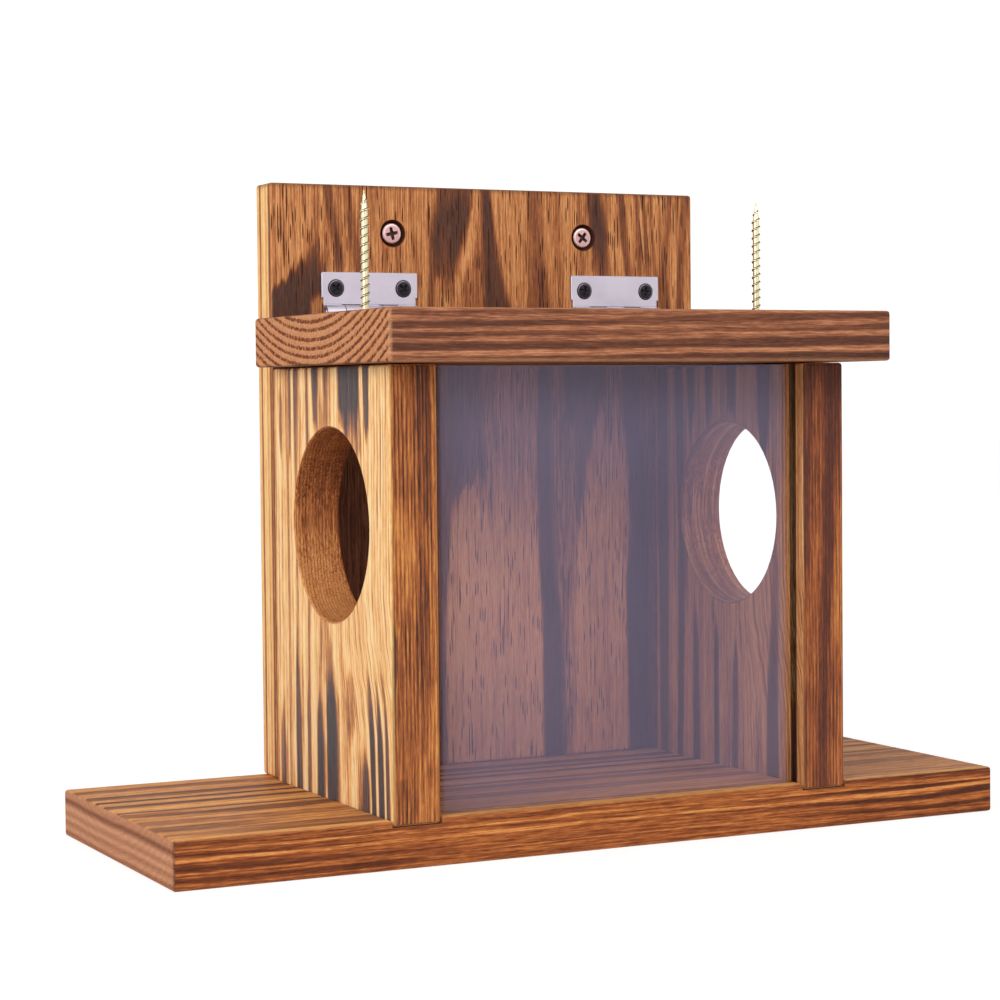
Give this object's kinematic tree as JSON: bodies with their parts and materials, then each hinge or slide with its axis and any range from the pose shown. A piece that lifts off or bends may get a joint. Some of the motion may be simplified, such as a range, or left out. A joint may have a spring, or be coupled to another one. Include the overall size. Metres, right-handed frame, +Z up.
{
  "type": "squirrel feeder box",
  "caption": "Torched pine feeder box for a tree, with a hinged lid, a clear front pane, a round door in each side and a base board that runs on as a perch.",
  "frame": {"origin": "under the base board, at the middle of the box's width and of the base's depth", "axes": "+X to the right seen from the front, +Y to the back board and the tree, +Z up"},
  "size_m": [0.3085, 0.1619, 0.2267],
  "materials": {
    "pine_base": "torched and oiled",
    "pine_sides": "torched and oiled",
    "pine_back": "torched and oiled",
    "pine_lid": "torched and oiled",
    "clear_acrylic": "clear with a faint violet tint",
    "nickel_hinge": "nickel plated",
    "black_screw": "black phosphate",
    "nickel_screw": "nickel over copper",
    "yellow_zinc": "yellow zinc"
  },
  "bodies": {
    "box": {"base_board": "pine_base", "side_panel_left": "pine_sides", "side_panel_right": "pine_sides", "back_board": "pine_back", "window_pane": "clear_acrylic", "hinge_left_back_leaf": "nickel_hinge", "hinge_left_pin": "nickel_hinge", "hinge_right_back_leaf": "nickel_hinge", "hinge_right_pin": "nickel_hinge", "hinge_left_back_screw_1": "black_screw", "hinge_left_back_screw_2": "black_screw", "hinge_right_back_screw_1": "black_screw", "hinge_right_back_screw_2": "black_screw", "mounting_screw_left": "nickel_screw", "mounting_screw_right": "nickel_screw", "back_to_side_left_screw_low": "black_screw", "back_to_side_left_screw_high": "black_screw", "back_to_side_right_screw_low": "black_screw", "back_to_side_right_screw_high": "black_screw", "base_to_side_left_screw_front": "black_screw", "base_to_side_left_screw_back": "black_screw", "base_to_side_right_screw_front": "black_screw", "base_to_side_right_screw_back": "black_screw", "base_to_back_left_screw": "black_screw", "base_to_back_right_screw": "black_screw"},
    "lid": {"lid_board": "pine_lid", "hinge_left_lid_leaf": "nickel_hinge", "hinge_right_lid_leaf": "nickel_hinge", "hinge_left_lid_screw_1": "black_screw", "hinge_left_lid_screw_2": "black_screw", "hinge_right_lid_screw_1": "black_screw", "hinge_right_lid_screw_2": "black_screw", "food_spike_left": "yellow_zinc", "food_spike_right": "yellow_zinc"}
  },
  "joints": [
    {"name": "lid_hinge", "type": "hinge", "parent": "box", "child": "lid", "pos_m": [0, 0.0413, 0.1812], "axis": [-1, 0, 0], "range_deg": [0, 90]}
  ]
}
